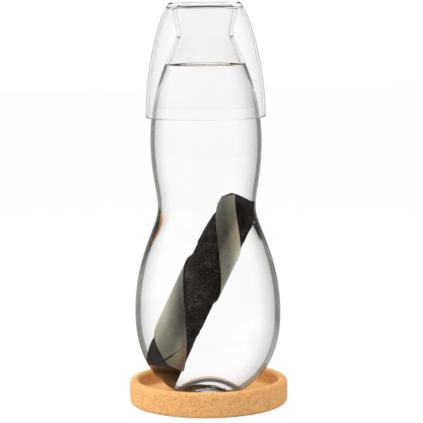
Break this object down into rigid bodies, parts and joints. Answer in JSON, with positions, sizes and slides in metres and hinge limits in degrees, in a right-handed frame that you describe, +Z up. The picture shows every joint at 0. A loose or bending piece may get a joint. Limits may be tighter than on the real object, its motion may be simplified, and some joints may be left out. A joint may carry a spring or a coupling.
{
  "type": "water carafe",
  "caption": "Hourglass glass water carafe with an upturned tumbler as its lid, a charcoal filter stick in a steel coil leaning inside, and a round cork tray.",
  "frame": {"origin": "centre of the cork tray's underside, on the table", "axes": "+Z up along the carafe's axis, -Y towards the viewer, +X to the side that the stick leans to"},
  "size_m": [0.095, 0.095, 0.24],
  "materials": {
    "cork": "matte pressed cork granules",
    "carafe_glass": "clear polished",
    "tumbler_glass": "clear polished",
    "charcoal": "rough matte black",
    "ribbon_steel": "satin"
  },
  "bodies": {
    "base": {"cork_tray": "cork"},
    "vessel": {"carafe_lower": "carafe_glass", "carafe_upper": "carafe_glass"},
    "lid": {"tumbler": "tumbler_glass"},
    "filter": {"charcoal_stick": "charcoal", "steel_coil": "ribbon_steel"}
  },
  "joints": [
    {"name": "carafe_lift", "type": "slide", "parent": "base", "child": "vessel", "axis": [0, 0, 1], "range_m": [0, 0.06]},
    {"name": "tumbler_lift", "type": "slide", "parent": "vessel", "child": "lid", "axis": [0, 0, 1], "range_m": [0, 0.09]},
    {"name": "stick_swirl", "type": "hinge", "parent": "vessel", "child": "filter", "pos_m": [0, 0, 0], "axis": [0, 0, 1], "continuous": true}
  ]
}
